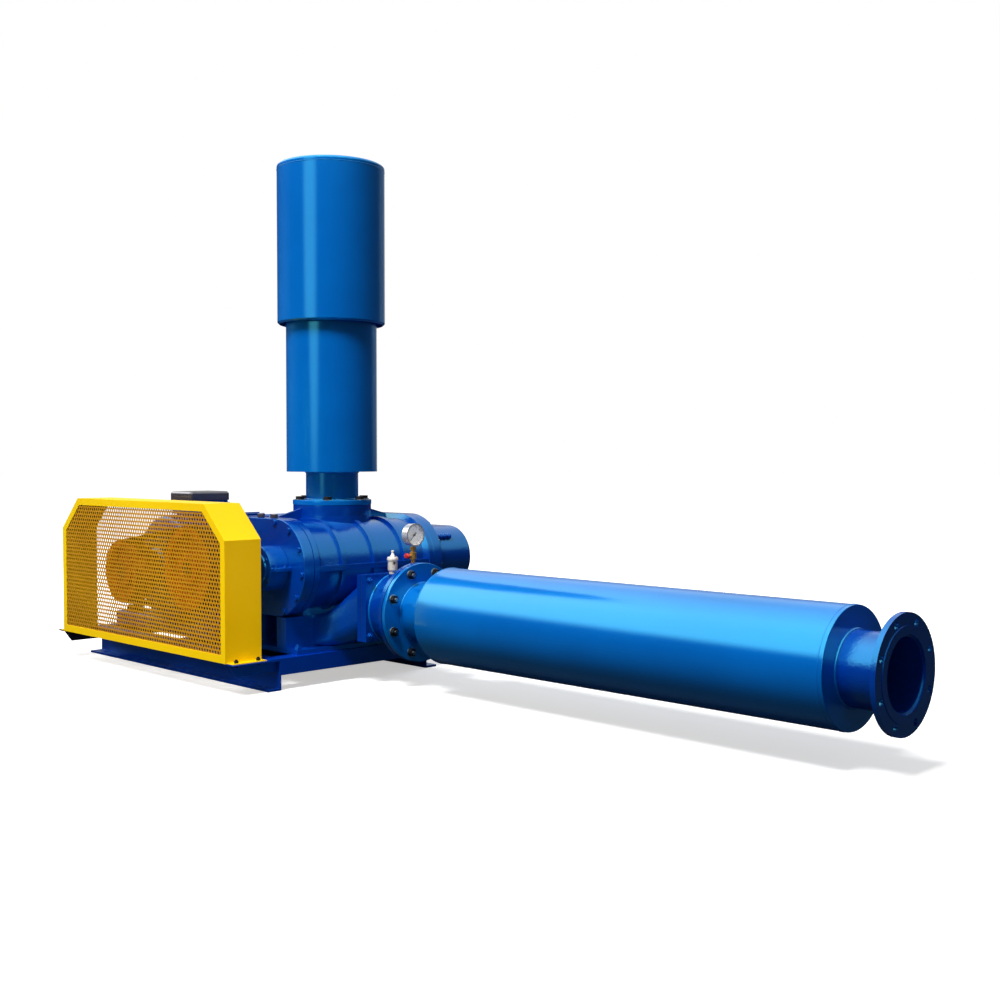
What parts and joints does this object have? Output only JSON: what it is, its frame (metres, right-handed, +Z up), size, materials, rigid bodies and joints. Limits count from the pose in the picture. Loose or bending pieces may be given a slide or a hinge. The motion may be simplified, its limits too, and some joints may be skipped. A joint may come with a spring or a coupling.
{
  "type": "roots blower",
  "caption": "Belt-driven Roots blower on a steel base, with upright intake silencer, motor behind a mesh guard, and a long lying discharge silencer with end flange.",
  "frame": {"origin": "centre of the four anchor holes, at the underside of the base channels", "axes": "+X along the discharge line towards the end flange, +Y along the rotor shafts away from the belt guard, +Z up"},
  "size_m": [3.657, 1.234, 2.055],
  "materials": {
    "blue_paint": "gloss blue enamel",
    "base_paint_dark": "dark blue enamel",
    "yellow_paint": "yellow enamel",
    "motor_paint": "dark blue enamel on cast ribs",
    "black_steel": "black oxide",
    "machined_steel": "turned and ground",
    "core_steel": "plain sheet and laminations",
    "cast_rotor": "machined grey iron",
    "rusted_iron": "bare cast iron with a film of rust",
    "belt_rubber": "matt",
    "seal_rubber": "matt",
    "gasket_fibre": "pressed fibre sheet",
    "black_gloss": "glossy black",
    "black_plastic": "moulded",
    "plated_valve": "plated",
    "cock_brass": "bright brass",
    "red_plastic": "red dip coating",
    "gauge_steel": "polished stainless steel",
    "dial_white": "white dial",
    "needle_black": "black pointer",
    "gauge_glass": "clear window",
    "sight_glass": "brass ring with a clear window"
  },
  "bodies": {
    "root": {"base_channels": "blue_paint", "side_angles": "blue_paint", "inner_beams": "blue_paint", "guard_brackets": "base_paint_dark", "motor_rails": "blue_paint", "motor_jack_screws": "black_steel", "foot_bolts": "black_steel", "guard_shell": "yellow_paint", "guard_mesh": "yellow_paint", "guard_bolts": "black_steel", "motor_frame": "motor_paint", "motor_drive_shield": "motor_paint", "motor_rear_shield": "motor_paint", "motor_fan_cover": "motor_paint", "terminal_box": "black_gloss", "terminal_box_lid": "black_gloss", "cable_glands": "black_gloss", "stator_core": "core_steel", "v_belts": "belt_rubber", "rotor_casing": "blue_paint", "drive_end_plate": "blue_paint", "gear_end_plate": "blue_paint", "drive_bearing_housing": "blue_paint", "driven_bearing_housing": "blue_paint", "gear_cover": "blue_paint", "shaft_bearings": "machined_steel", "shaft_seals": "seal_rubber", "end_plate_bolts": "blue_paint", "oil_filler_caps": "black_gloss", "oil_sight_glasses": "sight_glass", "discharge_base": "blue_paint", "outlet_branch": "blue_paint", "silencer_inlet_neck": "blue_paint", "silencer_shell": "blue_paint", "silencer_core": "core_steel", "outlet_neck": "blue_paint", "flange_bolts": "black_steel", "flange_gaskets": "gasket_fibre", "intake_neck": "blue_paint", "intake_body": "blue_paint", "intake_hood": "blue_paint", "intake_lid": "blue_paint", "intake_core": "core_steel", "relief_valve_body": "plated_valve", "relief_spring": "machined_steel", "gauge_cock": "cock_brass", "gauge_case": "gauge_steel", "gauge_dial": "dial_white", "gauge_glass": "gauge_glass"},
    "drive_rotor": {"drive_rotor": "cast_rotor", "drive_timing_gear": "machined_steel", "blower_pulley": "rusted_iron"},
    "driven_rotor": {"driven_rotor": "cast_rotor", "driven_timing_gear": "machined_steel"},
    "motor_rotor": {"motor_rotor": "machined_steel", "motor_fan": "black_plastic", "motor_pulley": "rusted_iron"},
    "cock_handle": {"cock_handle": "red_plastic"},
    "gauge_needle": {"gauge_needle": "needle_black"},
    "relief_stem": {"relief_valve_stem": "plated_valve"}
  },
  "joints": [
    {"name": "drive_rotor_spin", "type": "hinge", "parent": "root", "child": "drive_rotor", "pos_m": [0.3405, 0.072, 0.447], "axis": [0, 1, 0], "continuous": true},
    {"name": "driven_rotor_spin", "type": "hinge", "parent": "root", "child": "driven_rotor", "pos_m": [0.5405, 0.072, 0.447], "axis": [0, 1, 0], "continuous": true},
    {"name": "motor_spin", "type": "hinge", "parent": "root", "child": "motor_rotor", "pos_m": [-0.1705, -0.1, 0.405], "axis": [0, 1, 0], "continuous": true},
    {"name": "cock_turn", "type": "hinge", "parent": "root", "child": "cock_handle", "pos_m": [0.944, 0.045, 0.496], "axis": [0, -1, 0], "range_deg": [0, 90]},
    {"name": "pointer_turn", "type": "hinge", "parent": "root", "child": "gauge_needle", "pos_m": [0.952, 0.072, 0.576], "axis": [-1, 0, 0], "range_deg": [0, 270], "stiffness_Nm_per_rad": 0.05},
    {"name": "relief_lift", "type": "slide", "parent": "root", "child": "relief_stem", "axis": [0, 0, 1], "range_m": [0, 0.006], "stiffness_N_per_m": 2000, "springref_m": -0.005, "deforming": ["relief_spring"]}
  ],
  "couplings": [
    {"joint": "driven_rotor_spin", "follows": "drive_rotor_spin", "ratio": -1},
    {"joint": "motor_spin", "follows": "drive_rotor_spin", "ratio": 1.26}
  ]
}
